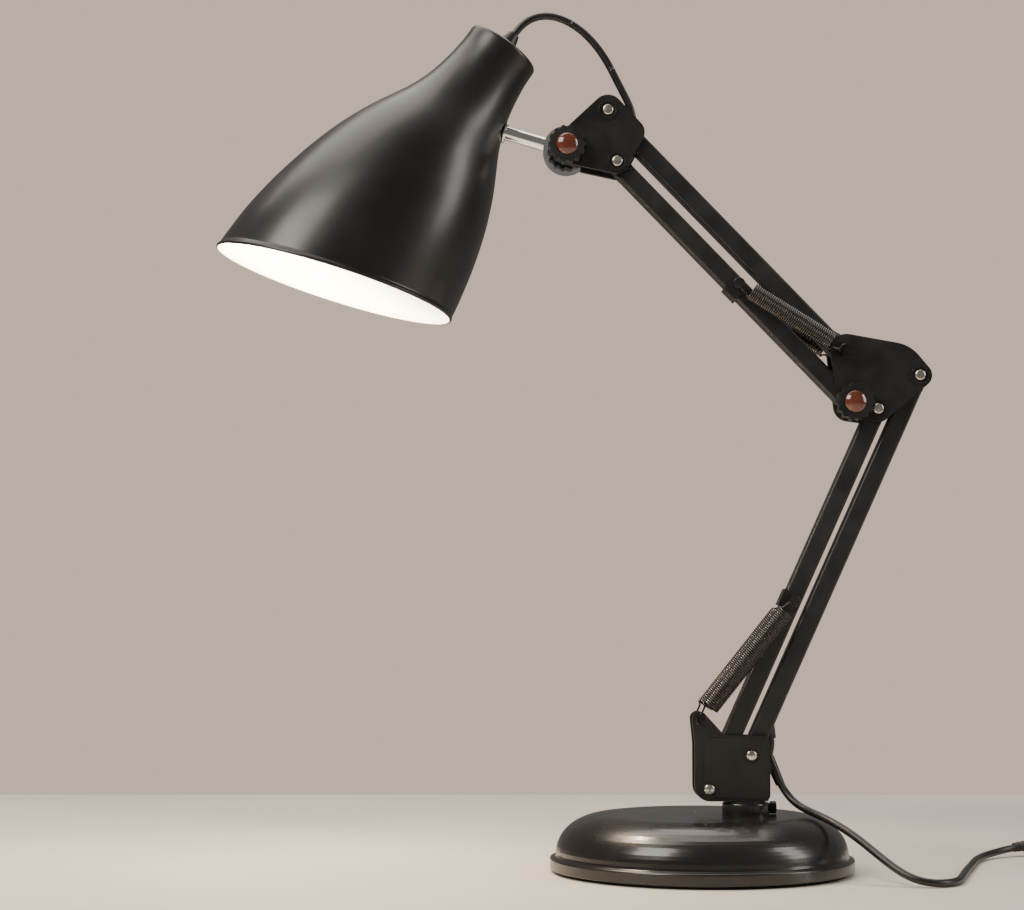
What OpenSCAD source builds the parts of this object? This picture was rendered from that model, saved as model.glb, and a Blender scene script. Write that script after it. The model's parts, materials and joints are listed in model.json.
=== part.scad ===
// Swing arm desk lamp: weighted base, two parallelogram arms, sprung, with a bell shade.
// +X is the way the elbow leans, Y is across the arms, +Z is up.
// The origin is the middle of the base's underside, on the table.

/* [Base] */
// Diameter of the base over its rim
base_d = 180; // [170:1:190]
// Height of the domed cover's flat top
dome_top = 34; // [33:0.5:34]
// Thickness of the cast weight
weight_h = 12; // [8:1:13]

/* [Arms] */
// Width of the square tubes
bar_w = 11.2; // [10:0.1:11.2]
// Wall of the square tubes
bar_wall = 1; // [0.8:0.1:1.2]
// Length of the lower bars between pivots
lower_len = 247.5; // [230:0.5:260]
// Length of the upper bars between pivots
upper_len = 201.8; // [190:0.2:210]
// Lean of the lower bars from upright, to the right
lower_lean = 24.2; // [10:0.1:28]
// Lean of the upper bars from upright, to the left
upper_lean = 43.9; // [40:0.1:60]

/* [Brackets] */
// Half the gap between a bracket's two plates
slot_half = 6; // [6:0.1:6.5]
// Thickness of a bracket's plates
plate_t = 3; // [2.5:0.1:3.2]
// Diameter of a clamp knob
knob_d = 22.5; // [21:0.5:26]

/* [Shade] */
// Angle of the shade's axis from upright
shade_lean = 35; // [30:1:40]
// Length of the shade on its long side
shade_len = 199; // [190:1:205]
// Slant of the mouth across the axis
mouth_slant = 18; // [15:0.5:20]
// Wall of the shade
shade_wall = 1.2; // [1:0.1:1.5]

/* [Lead] */
// Diameter of the mains lead
lead_d = 4.4; // [4.2:0.1:4.4]
// Diameter of the spring coils
spring_d = 10.8; // [10:0.1:11]

/* [Hidden] */
$fn = 64;

// Pivots as [X, Z]. Each arm is a parallelogram, so both its bars share one vector.
function polar(len, lean) = [len * sin(lean), len * cos(lean)];
swivel_x = 26.5;
pivot_a = [4, 49];
pivot_b = pivot_a + [25, 20];
lower_vec = polar(lower_len, lower_lean);
pivot_c = pivot_a + lower_vec;
pivot_d = pivot_b + lower_vec;
pivot_e = pivot_c + [-15.1, 3.1];
pivot_f = pivot_e + [-5.4, 31];
upper_vec = polar(upper_len, -upper_lean);
pivot_h = pivot_e + upper_vec;
pivot_g = pivot_f + upper_vec;
pivot_k = pivot_h + [-30.1, 8.3];
shade_top = pivot_k + [-37.2, 62.8];

rivet_r = 2.5;
bolt_r = 3;
running = 0.05;
plate_out = slot_half + plate_t;
bar_half = bar_w / 2;
boss_y = slot_half - 0.1;
plug_reach = 8;
spring_y = plate_out + 0.8 + spring_d / 2;
peg_y = spring_y + 3;
lower_peg = [-1.5, 90.5];
lower_clip_s = 122;
upper_clip_s = 98;
lower_clip = pivot_a + polar(lower_clip_s, lower_lean);
upper_clip = pivot_e + polar(upper_clip_s, -upper_lean);
bracket_z = 42;
socket_top = 41;
socket_r = 14;
bush_r = 8;
swivel_r = 6;
knob_y = plate_out + 2.1;
knob_t = 8;
rod_dip = 16.6;
rod_r = 4;
rod_len = 39;
lead_r = lead_d / 2;
grommet_s = 22;
// The holes for the lead, as [distance, side it leaves by, slant from the bar's axis, face it is in]
drop_hole = [grommet_s, 0, 138, 0];
back_hole = [lower_len - 42, 90, 40, 90];
elbow_hole = [34, 60, 150, 90];
loop_hole = [upper_len - grommet_s, 0, 46, 0];
// How far along its slant a hole's grommet and the lead in it reach
function tip(hole) = bar_half / (sin(hole[2]) * cos(hole[1] - hole[3])) + 3;
// The point on a hole's axis at a distance from the bar's own axis, in X, Y and Z
function in_hole(at, lean, hole, d) =
    let (
        side = d * sin(hole[2]) * cos(hole[1]),
        up = hole[0] + d * cos(hole[2])
    )
        [
            at[0] + up * sin(lean) + side * cos(lean),
            d * sin(hole[2]) * sin(hole[1]),
            at[1] + up * cos(lean) - side * sin(lean)
        ];

// The free lead's route, from the clip on the base bracket to the switch
lead_route = [
    [41.6, 0, 64.5], [43.5, -0.6, 59.9], [45.4, -1.2, 55.3], [47.3, -1.8, 50.7], [49.6, -3.3, 46.3],
    [52.5, -6.1, 42.4], [56.2, -10.4, 39.4], [61.6, -17.6, 37], [70, -29.6, 33.6], [79.8, -42.8, 27.8],
    [89.5, -54.5, 20], [98, -65, 12.4], [104.3, -72.1, 7.6], [110.7, -77.4, 4.2], [117.6, -80, 2.6],
    [124.8, -79.3, 2.4], [131.4, -75.6, 2.4], [136.6, -69, 2.4], [142, -54, 2.4], [149, -31, 2.4],
    [155, -12, 2.4], [161.5, 7, 2.4], [171, 36, 2.4], [181, 58, 2.7], [193.5, 73, 3.8],
    [207, 80.4, 5.9], [222, 82, 7.5]
];
switch_x = [222, 276];
switch_y = 82;
switch_h = 15;
coil_c = [264, 34];
coil_out = 30;
coil_turns = 3;
coil_layers = 3;
tie_t = 0.8;
// From the switch round to the coil's outer turn
link_route = [
    [276, 82, 7.5], [280.7, 81.4, 7.3], [285, 79.6, 6.8], [288.7, 76.7, 6.1], [291.6, 73, 5.3],
    [293.4, 68.7, 4.5], [294, 64, 3.9], [294, 54, 3.2], [294, 44, 3], [294, 34, 3]
];
// From the coil's innermost turn, over the others, to the plug
tail_route = [
    [285, 34, 12], [285, 27, 12.9], [285, 19, 15.4], [285, 11, 16.8], [285, 3, 15.8],
    [285, -5, 13.1], [285, -13, 10.1], [285, -21, 8]
];
plug_y = [-21, -38, -72];
plug_x = 285;
plug_z = 8;
pin_len = 19;
pin_gap = 19;
// The lead's loop from the shade's top to the upper bar, in the plane of the arms
gland_h = 10;
loop_start = shade_top + polar(gland_h, shade_lean);
loop_from = in_hole(pivot_f, -upper_lean, loop_hole, tip(loop_hole) + 0.8);
loop_end = [loop_from[0], loop_from[2]];
loop_points = [
    loop_start, loop_start + [3.4, 4.6], loop_start + [8, 8.6], loop_start + [13.6, 11],
    loop_start + [19.6, 11.6], loop_start + [26, 10.6], loop_start + [33.4, 7.4], loop_start + [41.6, 1.6],
    loop_start + [49.6, -7], loop_start + [56.6, -17.6], loop_start + [62.6, -29.6],
    loop_end + [-3.6, 12], loop_end + [-1, 6], loop_end
];
// The lead's way behind the elbow bracket, from the upper bar to the lower one
elbow_from = in_hole(pivot_f, -upper_lean, elbow_hole, tip(elbow_hole) + 0.8);
elbow_near = in_hole(pivot_f, -upper_lean, elbow_hole, 27);
elbow_to = in_hole(pivot_b, lower_lean, back_hole, tip(back_hole) + 0.8);
function elbow_low(up, y) = [elbow_to[0] + up * sin(lower_lean), y, elbow_to[2] + up * cos(lower_lean)];
elbow_route = [
    elbow_from, elbow_near, [91, 13, 318.6], [98.6, 13.5, 313.6], [105.4, 13.4, 307.4], [111, 13.4, 300],
    [115.4, 13.4, 292], [118.4, 13.4, 284], elbow_low(16, 12.8), elbow_low(8, 11.4), elbow_low(3.3, 9.7),
    elbow_to
];
// The short drop from the lower bar to the clip
drop_from = in_hole(pivot_b, lower_lean, drop_hole, tip(drop_hole) + 0.8);
drop_route = [
    drop_from, drop_from + [0.3, 0.1, -3], drop_from + [-0.3, 0.3, -6], [39.8, 0.6, 69.6]
];

black = [0.03, 0.03, 0.03];
gloss_black = [0.01, 0.01, 0.01];
steel = [0.7, 0.7, 0.7];
nickel = [0.85, 0.83, 0.78];
red_brown = [0.4, 0.12, 0.06];

// ---- Shared shapes ----

// Points along an arc round c, from angle a0 to angle a1
arc_steps = 10;
function arc(c, r, a0, a1) = [
    for (i = [0 : arc_steps])
        let (a = a0 + (a1 - a0) * i / arc_steps)
            [c[0] + r * cos(a), c[1] + r * sin(a)]
];

// The outline of a belt round circles [x, z, r], given anticlockwise
function normal_between(p, q) =
    let (d = [q[0] - p[0], q[1] - p[1]])
        atan2(d[1], d[0]) - acos((p[2] - q[2]) / norm(d));
function after(a0, a) = a < a0 ? after(a0, a + 360) : (a >= a0 + 360 ? after(a0, a - 360) : a);
function belt(cs) = [
    for (i = [0 : len(cs) - 1])
        let (
            c = cs[i],
            a0 = normal_between(cs[(i + len(cs) - 1) % len(cs)], c),
            a1 = after(a0, normal_between(c, cs[(i + 1) % len(cs)]))
        )
            each arc(c, c[2], a0, a1)
];

// A smooth line through points, with n steps between each two
function bend(a, b, c, d, t) =
    0.5 * ((2 * b) + (c - a) * t + (2 * a - 5 * b + 4 * c - d) * t * t + (3 * b - a - 3 * c + d) * t * t * t);
function smooth(p, n) = [
    for (i = [0 : len(p) - 2])
        for (k = [0 : n - 1])
            bend(p[max(i - 1, 0)], p[i], p[i + 1], p[min(i + 2, len(p) - 1)], k / n),
    p[len(p) - 1]
];

// A round tube swept along 3-D points, as one closed polyhedron
sweep_sides = 10;
function unit(v) = v / norm(v);
function heading(p, i) = unit(p[min(i + 1, len(p) - 1)] - p[max(i - 1, 0)]);
function square_to(v, t) = unit(v - (v * t) * t);
function sides_along(p, first) = [
    for (i = 0, s = square_to(first, heading(p, 0)); i < len(p);
         i = i + 1, s = i < len(p) ? square_to(s, heading(p, i)) : s)
        s
];
module sweep(p, r, first) {
    s = sides_along(p, first);
    m = sweep_sides;
    rings = len(p);
    ring_points = [
        for (i = [0 : rings - 1])
            let (up = cross(heading(p, i), s[i]))
                for (k = [0 : m - 1])
                    p[i] + r * cos(360 * k / m) * s[i] + r * sin(360 * k / m) * up
    ];
    sides = [
        for (i = [0 : rings - 2])
            for (k = [0 : m - 1])
                [i * m + k, (i + 1) * m + k, (i + 1) * m + (k + 1) % m, i * m + (k + 1) % m]
    ];
    first_cap = [for (k = [0 : m - 1]) k];
    last_cap = [for (k = [m - 1 : -1 : 0]) (rings - 1) * m + k];
    polyhedron(ring_points, concat([first_cap], sides, [last_cap]));
}

function flat(p) = [for (q = p) [q[0], 0, q[1]]];

// A cylinder along Y at [X, Z]
module across(at, r, y0, y1) {
    translate([at[0], y0, at[1]])
        rotate([-90, 0, 0])
            cylinder(r = r, h = y1 - y0);
}

// The same piece at the front and at the back
module both_sides() {
    children();
    mirror([0, 1, 0])
        children();
}

// An outline in X and Z, made solid from y0 to y1
module slab(outline, y0, y1) {
    translate([0, y1, 0])
        rotate([90, 0, 0])
            linear_extrude(y1 - y0)
                polygon(outline);
}

// Puts a piece made up the Z axis onto a bar from pivot at, leaning by lean
module on_bar(at, lean) {
    translate([at[0], 0, at[1]])
        rotate([0, lean, 0])
            children();
}

function rounded_square(half, r) = belt([
    [-half + r, -half + r, r], [half - r, -half + r, r], [half - r, half - r, r], [-half + r, half - r, r]
]);

// A square tube between two pivots, with holes for the lead
module bar_tube(len, slots = []) {
    difference() {
        translate([0, 0, plug_reach])
            linear_extrude(len - 2 * plug_reach)
                difference() {
                    polygon(rounded_square(bar_half, 1.6));
                    polygon(rounded_square(bar_half - bar_wall, 0.7));
                }
        for (slot = slots)
            translate([0, 0, slot[0]])
                rotate([0, slot[2], slot[1]])
                    cylinder(r = 3, h = 2 * bar_w);
    }
}

// The plastic plug in a bar's end, with the pivot's bore
module bar_plug(bore_r) {
    body = bar_half - 0.1;
    insert = bar_half - bar_wall - 0.1;
    difference() {
        union() {
            across([0, 0], body, -body, body);
            translate([-body, -body, 0])
                cube([2 * body, 2 * body, plug_reach]);
            linear_extrude(plug_reach + 6)
                polygon(rounded_square(insert, 1));
            across([0, 0], 4.4, -boss_y, boss_y);
        }
        across([0, 0], bore_r + running, -bar_w, bar_w);
    }
}

module bar_plugs(len, low_bore, high_bore) {
    bar_plug(low_bore);
    translate([0, 0, len])
        mirror([0, 0, 1])
            bar_plug(high_bore);
}

// A rubber grommet round the lead on a bar's side
module grommet(slot) {
    intersection() {
        translate([0, 0, slot[0]])
            rotate([0, slot[2], slot[1]])
                difference() {
                    cylinder(r1 = 5.6, r2 = 3.4, h = tip(slot));
                    translate([0, 0, -1])
                        cylinder(r = lead_r + 0.1, h = 30);
                }
        rotate([0, 0, slot[3]])
            translate([bar_half + 0.02, -20, slot[0] - 40])
                cube([40, 40, 80]);
    }
}

// A saddle over a bar that carries the spring pegs
module spring_saddle() {
    inner = bar_half + 0.05;
    outer = bar_half + 1.3;
    difference() {
        union() {
            translate([-outer, -outer, -5])
                cube([outer + 3.5, 2 * outer, 10]);
            both_sides()
                across([0, 0], 2, outer - 0.5, peg_y);
            both_sides()
                across([0, 0], 3, peg_y - 1.2, peg_y);
        }
        translate([-inner, -inner, -6])
            cube([inner + 10, 2 * inner, 12]);
    }
}

// A spring as a plain solid between two pegs, with its hooks
module spring_solid(from, to) {
    run = norm(to - from);
    lean = atan2(to[0] - from[0], to[1] - from[1]);
    gap = 8;
    on_bar(from, lean)
        both_sides() {
            translate([0, spring_y, gap])
                cylinder(r = spring_d / 2, h = run - 2 * gap);
            translate([0, spring_y, 2.7])
                cylinder(r = 0.8, h = run - 5);
        }
}

// One plate of a bracket, with a raised ring at each rivet and bores
module bracket_plate(outline, rings, bores) {
    difference() {
        union() {
            slab(outline, -plate_out, -slot_half);
            for (p = rings)
                across(p, 5.8, -plate_out - 0.7, -plate_out + 0.5);
        }
        for (b = bores)
            across(b[0], b[1] + running, -plate_out - 2, -slot_half + 1);
        for (p = rings)
            across(p, 4.6, -plate_out - 2, -plate_out);
    }
}

// A rivet through both plates, with a shallow domed head each side
module rivet(at) {
    across(at, rivet_r, -plate_out - 0.1, plate_out + 0.1);
    both_sides()
        translate([at[0], plate_out + 0.02, at[1]])
            rotate([-90, 0, 0])
                rotate_extrude()
                    polygon(concat([[0, 0], [3.2, 0]], arc([2.1, 0.4], 1.1, 0, 90), [[0, 1.8]]));
}

// A fluted clamp knob in front of a bracket, and its domed cap
flutes = 14;
module knob_wheel(at) {
    difference() {
        across(at, knob_d / 2, -knob_y - knob_t, -knob_y);
        for (i = [0 : flutes - 1])
            across(at + polar(knob_d / 2 + 0.7, 360 * i / flutes), 1.9, -knob_y - knob_t - 1, -knob_y + 1);
        across(at, bolt_r + running, -knob_y - knob_t - 1, -knob_y + 1);
        across(at, 6.6, -knob_y - knob_t - 1, -knob_y - knob_t + 1.6);
    }
}

module knob_cap(at) {
    translate([at[0], -knob_y - knob_t + 1.6, at[1]])
        rotate([90, 0, 0])
            rotate_extrude()
                polygon(concat([[0, 0], [6.4, 0], [6.4, 1.8]], arc([0, -5.5], 9.72, 48.8, 90)));
}

// A clamp bolt with a hexagon nut behind the bracket
module clamp_bolt(at) {
    across(at, bolt_r, -knob_y - knob_t + 2, plate_out + 6);
    across(at, 6.2, plate_out + 0.05, plate_out + 1.2);
    translate([at[0], plate_out + 1.2, at[1]])
        rotate([-90, 0, 0])
            cylinder(r = 5.8, h = 4.2, $fn = 6);
}

// ---- Base ----

module base_pad() {
    color(black)
        cylinder(r = base_d / 2 - 4, h = 1.5, $fn = 128);
}

base_bolt_r = 45;
module at_base_bolts() {
    for (a = [0, 120, 240])
        rotate(a + 180)
            translate([base_bolt_r, 0, 0])
                children();
}

module bottom_plate() {
    color(steel)
        difference() {
            translate([0, 0, 1.5])
                cylinder(r = base_d / 2 - 3.2, h = 2, $fn = 128);
            at_base_bolts()
                cylinder(r = 4.6, h = 10);
        }
}

module base_weight() {
    color([0.25, 0.25, 0.26])
        difference() {
            translate([0, 0, 3.5])
                cylinder(r = base_d / 2 - 10, h = weight_h, $fn = 96);
            at_base_bolts()
                cylinder(r = rivet_r + running, h = 40);
        }
}

module base_bolts() {
    color(steel)
        at_base_bolts() {
            translate([0, 0, 1.7])
                cylinder(r = 4.5, h = 1.8);
            translate([0, 0, 3.4])
                cylinder(r = rivet_r, h = 9);
        }
}

// The dome's edge is a quarter ellipse from the flat top down to the side
dome_flat_r = base_d / 2 - 32;
dome_foot = 11;
function dome(inset, steps = 16) = [
    for (i = [0 : steps])
        let (a = 90 - 90 * i / steps)
            [
                dome_flat_r + (base_d / 2 - 3.5 - inset - dome_flat_r) * cos(a),
                dome_foot + (dome_top - inset - dome_foot) * sin(a)
            ]
];
function backwards(p) = [for (i = [len(p) - 1 : -1 : 0]) p[i]];
module base_shell() {
    rim = base_d / 2;
    outline = concat(
        [[0, dome_top]], dome(0), [[rim - 3.2, 9.6], [rim - 2.2, 9]], arc([rim - 1.4, 7.6], 1.4, 80, 0),
        arc([rim - 1, 2.8], 1, 0, -90), [[rim - 3, 1.8], [rim - 3, 7.4], [rim - 5.5, 8.6]],
        backwards(dome(2)), [[0, dome_top - 2]]
    );
    color(gloss_black)
        difference() {
            rotate_extrude($fn = 160)
                polygon(outline);
            translate([swivel_x, 0, 20])
                cylinder(r = socket_r + 0.1, h = 30);
        }
}

lock_z = dome_top + 3.9;
lock_head_r = 3.6;
module swivel_socket() {
    color(black)
        difference() {
            translate([swivel_x, 0, 3.5 + weight_h])
                rotate_extrude()
                    polygon(concat(
                        [[bush_r + 0.05, 0], [socket_r, 0]],
                        arc([socket_r - 1.2, socket_top - 3.5 - weight_h - 1.2], 1.2, 0, 90),
                        [[bush_r + 0.05, socket_top - 3.5 - weight_h]]
                    ));
            translate([swivel_x, 0, lock_z])
                rotate([0, 90, 0])
                    cylinder(r = 2 + running, h = 30);
        }
}

module socket_bush() {
    color([0.85, 0.85, 0.82])
        difference() {
            translate([swivel_x, 0, 0]) {
                translate([0, 0, 17])
                    cylinder(r = bush_r, h = socket_top - 17);
                translate([0, 0, socket_top])
                    cylinder(r = 11, h = 0.9);
            }
            translate([swivel_x, 0, 10])
                cylinder(r = swivel_r + running, h = 60);
            translate([swivel_x, 0, lock_z])
                rotate([0, 90, 0])
                    cylinder(r = 2.4, h = 30);
        }
}

module lock_screw() {
    head_x = swivel_x + socket_r + 0.3;
    color(black)
        difference() {
            union() {
                translate([swivel_x + swivel_r + 0.2, 0, lock_z])
                    rotate([0, 90, 0])
                        cylinder(r = 2, h = 10);
                translate([head_x, 0, lock_z])
                    rotate([0, 90, 0])
                        cylinder(r = lock_head_r, h = 3.6);
            }
            for (i = [0 : 9])
                translate([head_x - 0.1, (lock_head_r + 0.3) * cos(36 * i), lock_z + (lock_head_r + 0.3) * sin(36 * i)])
                    rotate([0, 90, 0])
                        cylinder(r = 0.7, h = 6);
        }
}

// ---- Base bracket, which swivels ----

module swivel_pin() {
    color(steel)
        translate([swivel_x, 0, 0]) {
            translate([0, 0, 18])
                cylinder(r = swivel_r, h = bracket_z - 18);
            translate([0, 0, bracket_z])
                cylinder(r = 4, h = 5.9);
        }
}

module bracket_block() {
    color(black)
        difference() {
            translate([swivel_x - 13.5, -slot_half, bracket_z])
                cube([26.5, 2 * slot_half, 6]);
            translate([swivel_x, 0, bracket_z - 1])
                cylinder(r = 4 + running, h = 20);
        }
}

base_outline = belt([[4.5, 51, 9], [36.1, 46, 4], [36.1, 76.7, 4], [-0.5, 76.7, 4]]);
base_ear = belt([[0, 76, 4.5], [12, 77, 3.5], [-1.5, 90.5, 4.4]]);
base_cover = belt([[7, 50.5, 6], [35.6, 46.5, 3.2], [35.6, 76.2, 3.2], [4.2, 76.2, 3.2]]);
module base_bracket_front() {
    color(black)
        difference() {
            union() {
                bracket_plate(base_outline, [], [[pivot_a, rivet_r], [pivot_b, rivet_r]]);
                slab(base_ear, -plate_out, -slot_half);
                slab(base_cover, -plate_out - 0.7, -plate_out + 0.5);
            }
            across(lower_peg, 1.8 + running, -20, 0);
            for (p = [pivot_a, pivot_b]) {
                across(p, rivet_r + running, -20, 0);
                across(p, 4.6, -20, -plate_out);
            }
        }
}

module base_bracket_back() {
    mirror([0, 1, 0])
        base_bracket_front();
}

module base_rivets() {
    color(nickel) {
        rivet(pivot_a);
        rivet(pivot_b);
    }
}

module lower_spring_pegs() {
    color(steel)
        both_sides() {
            across(lower_peg, 1.8, slot_half + 0.1, peg_y);
            across(lower_peg, 2.8, peg_y - 1.2, peg_y);
        }
}

// The tapered sleeve and its foot that hold the lead at the bracket's right edge
module lead_clip() {
    first = lead_route[0];
    aim = unit(lead_route[1] - lead_route[0]);
    tilt = acos(aim[2]);
    turn = atan2(aim[1], aim[0]);
    color(black)
        difference() {
            union() {
                translate(first)
                    rotate([0, tilt, turn])
                        translate([0, 0, -3])
                            cylinder(r1 = 3.2, r2 = 2.7, h = 17);
                translate([36, -slot_half, 58.5])
                    cube([5.4, 2 * slot_half, 6]);
            }
            translate(first)
                rotate([0, tilt, turn])
                    translate([0, 0, -30])
                        cylinder(r = lead_r + 0.05, h = 80);
        }
}

// ---- Lower arm ----

// Where the lead goes in and out of the tubes
lower_slots = [drop_hole, back_hole];
upper_slots = [elbow_hole, loop_hole];

module lower_left_tube() {
    color(black)
        on_bar(pivot_a, lower_lean)
            bar_tube(lower_len);
}

module lower_left_plugs() {
    color(black)
        on_bar(pivot_a, lower_lean)
            bar_plugs(lower_len, rivet_r, rivet_r);
}

module lower_spring_clip() {
    color(black)
        on_bar(lower_clip, lower_lean)
            spring_saddle();
}

module lower_springs() {
    color(steel)
        spring_solid(lower_peg, lower_clip);
}

module lower_right_tube() {
    color(black)
        on_bar(pivot_b, lower_lean)
            bar_tube(lower_len, lower_slots);
}

module lower_right_plugs() {
    color(black)
        on_bar(pivot_b, lower_lean)
            bar_plugs(lower_len, rivet_r, rivet_r);
}

module lower_grommets() {
    color(black)
        on_bar(pivot_b, lower_lean)
            for (slot = lower_slots)
                grommet(slot);
}

// The lead inside a bar, out to the tips of its two grommets
module lead_in_bar(slots) {
    past = 1;
    translate([0, 0, slots[0][0] - past])
        cylinder(r = lead_r, h = slots[1][0] - slots[0][0] + 2 * past);
    for (slot = slots)
        translate([0, 0, slot[0]])
            rotate([0, slot[2], slot[1]])
                cylinder(r = lead_r, h = tip(slot));
}

module lower_lead() {
    color(black)
        on_bar(pivot_b, lower_lean)
            lead_in_bar(lower_slots);
}

module drop_lead() {
    color(black)
        sweep(drop_route, lead_r, [0, 1, 0]);
}

// ---- Elbow bracket ----

elbow_outline = belt([
    [pivot_e[0], pivot_e[1], 9], [pivot_c[0], pivot_c[1], 8], [pivot_d[0], pivot_d[1], 7.2],
    [pivot_d[0] - 17.5, pivot_d[1] - 2.2, 22], [pivot_f[0] + 2, pivot_f[1] + 1, 9.6]
]);
module elbow_front() {
    color(black)
        bracket_plate(
            elbow_outline, [pivot_c, pivot_d],
            [[pivot_c, rivet_r], [pivot_d, rivet_r], [pivot_e, bolt_r], [pivot_f, rivet_r]]
        );
}

module elbow_back() {
    mirror([0, 1, 0])
        elbow_front();
}

module elbow_rivets() {
    color(nickel) {
        rivet(pivot_c);
        rivet(pivot_d);
    }
}

// The clamp bolt, and the long pin that also carries the upper springs
module elbow_bolt() {
    color(black) {
        clamp_bolt(pivot_e);
        across(pivot_f, rivet_r, -peg_y, peg_y);
        both_sides()
            across(pivot_f, 3.2, peg_y - 1.2, peg_y);
    }
}

module elbow_lead() {
    color(black)
        sweep(elbow_route, lead_r, [0, 1, 0]);
}

module elbow_knob() {
    color(black)
        knob_wheel(pivot_e);
}

module elbow_knob_cap() {
    color(red_brown)
        knob_cap(pivot_e);
}

// ---- Upper arm ----

module upper_bottom_tube() {
    color(black)
        on_bar(pivot_e, -upper_lean)
            bar_tube(upper_len);
}

module upper_bottom_plugs() {
    color(black)
        on_bar(pivot_e, -upper_lean)
            bar_plugs(upper_len, bolt_r, rivet_r);
}

module upper_spring_clip() {
    color(black)
        on_bar(upper_clip, -upper_lean)
            spring_saddle();
}

module upper_springs() {
    color(steel)
        spring_solid(pivot_f, upper_clip);
}

module upper_top_tube() {
    color(black)
        on_bar(pivot_f, -upper_lean)
            bar_tube(upper_len, upper_slots);
}

module upper_top_plugs() {
    color(black)
        on_bar(pivot_f, -upper_lean)
            bar_plugs(upper_len, rivet_r, rivet_r);
}

module upper_grommets() {
    color(black)
        on_bar(pivot_f, -upper_lean)
            for (slot = upper_slots)
                grommet(slot);
}

module upper_lead() {
    color(black)
        on_bar(pivot_f, -upper_lean)
            lead_in_bar(upper_slots);
}

// ---- Head bracket ----

head_outline = belt([
    [pivot_h[0], pivot_h[1], 7.4], [pivot_g[0] + 14, pivot_g[1] - 13.4, 8], [pivot_g[0], pivot_g[1], 9.2],
    [pivot_k[0], pivot_k[1], 9]
]);
module head_front() {
    color(black)
        bracket_plate(
            head_outline, [pivot_g, pivot_h],
            [[pivot_g, rivet_r], [pivot_h, rivet_r], [pivot_k, bolt_r]]
        );
}

module head_back() {
    mirror([0, 1, 0])
        head_front();
}

module head_rivets() {
    color(nickel) {
        rivet(pivot_g);
        rivet(pivot_h);
    }
}

module head_bolt() {
    color(steel)
        clamp_bolt(pivot_k);
}

module head_knob() {
    color(black)
        knob_wheel(pivot_k);
}

module head_knob_cap() {
    color(red_brown)
        knob_cap(pivot_k);
}

// The chromed eye in the head bracket, with the rod that carries the shade
eye_r = 14;
module along_rod() {
    on_bar(pivot_k, -90 + rod_dip)
        children();
}

module head_rod() {
    color(nickel)
        difference() {
            union() {
                across(pivot_k, eye_r, -5.6, 5.6);
                along_rod() {
                    cylinder(r = rod_r, h = rod_len - 1.2);
                    cylinder(r = bolt_r, h = rod_len + 9);
                }
            }
            across(pivot_k, bolt_r + running, -20, 20);
        }
}

// Washer outside the shade's wall, and nut inside it
module rod_nuts() {
    color(nickel)
        along_rod()
            difference() {
                union() {
                    translate([0, 0, rod_len - 1.2])
                        cylinder(r = 6.4, h = 1.6);
                    translate([0, 0, rod_len + 3.4])
                        cylinder(r = 5.4, h = 4, $fn = 6);
                }
                cylinder(r = bolt_r + running, h = 80);
            }
}

// ---- Shade ----

// The shade's outline as [distance down the axis, radius]
shade_line = [
    [2.4, 22.8], [14, 23], [27, 24.8], [40, 27.8], [52, 32.2], [64, 39], [78, 46.6], [98, 54.8],
    [120, 61.4], [145, 66.8], [170, 70.2], [204, 71]
];
function shade_side(inset) = [for (p = smooth(shade_line, 3)) [p[1] - inset, -p[0]]];
module on_shade() {
    on_bar(shade_top, shade_lean)
        children();
}

// Everything below the slanted mouth
module below_mouth() {
    translate([-71, 0, -shade_len])
        rotate([0, -mouth_slant, 0])
            translate([-100, -150, -120])
                cube([400, 300, 120]);
}

module shade() {
    corner = arc([20.4, -2.4], 2.4, 90, 0);
    color(black)
        difference() {
            on_shade()
                difference() {
                    rotate_extrude($fn = 128)
                        polygon(concat(
                            [[5.3, 0]], corner, shade_side(0), backwards(shade_side(shade_wall)),
                            [[21, -shade_wall], [5.3, -shade_wall]]
                        ));
                    below_mouth();
                }
            along_rod()
                cylinder(r = bolt_r + 0.1, h = rod_len + 20);
        }
}

module cord_gland() {
    color(black)
        on_shade()
            rotate_extrude()
                polygon([
                    [lead_r + 0.05, -7], [5.2, -7], [5.2, 0.02], [7, 0.02], [7, 2.4], [5.4, 3.4],
                    [3.4, gland_h], [lead_r + 0.05, gland_h]
                ]);
}

module lampholder() {
    color([0.9, 0.9, 0.88])
        on_shade()
            rotate_extrude()
                polygon([
                    [5.3, -1.3], [15.5, -1.3], [16.5, -2.4], [16.5, -50], [13.6, -50], [13.6, -26],
                    [5.3, -26]
                ]);
}

module holder_ring() {
    color([0.9, 0.9, 0.88])
        on_shade()
            difference() {
                translate([0, 0, -20])
                    cylinder(r = 21, h = 7);
                translate([0, 0, -30])
                    cylinder(r = 16.6, h = 40);
            }
}

module bulb_cap() {
    color(nickel)
        on_shade()
            rotate_extrude()
                polygon([
                    [0, -27], [4, -27], [5, -29.5], [11, -31.5], [13.1, -33.5], [13.1, -52], [12, -52],
                    [12, -34.5], [0, -31]
                ]);
}

// A round bulb: a neck that widens into a globe, 1 mm thick
globe_z = -103;
globe_r = 29.5;
function globe(inset) = concat(
    [[11.9 - inset, -35], [11.9 - inset, -54], [13.6 - inset, -62], [19.4 - inset, -74]],
    [for (a = [42 : -11 : -79]) [(globe_r - inset) * cos(a), globe_z + (globe_r - inset) * sin(a)]],
    [[0, globe_z - globe_r + inset]]
);
module bulb_glass() {
    color([1, 0.95, 0.85])
        on_shade()
            rotate_extrude()
                polygon(concat(globe(0), backwards(globe(1))));
}

module loop_lead() {
    color(black)
        sweep(flat(loop_points), lead_r, [0, 1, 0]);
}

// ---- Free lead ----

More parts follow.
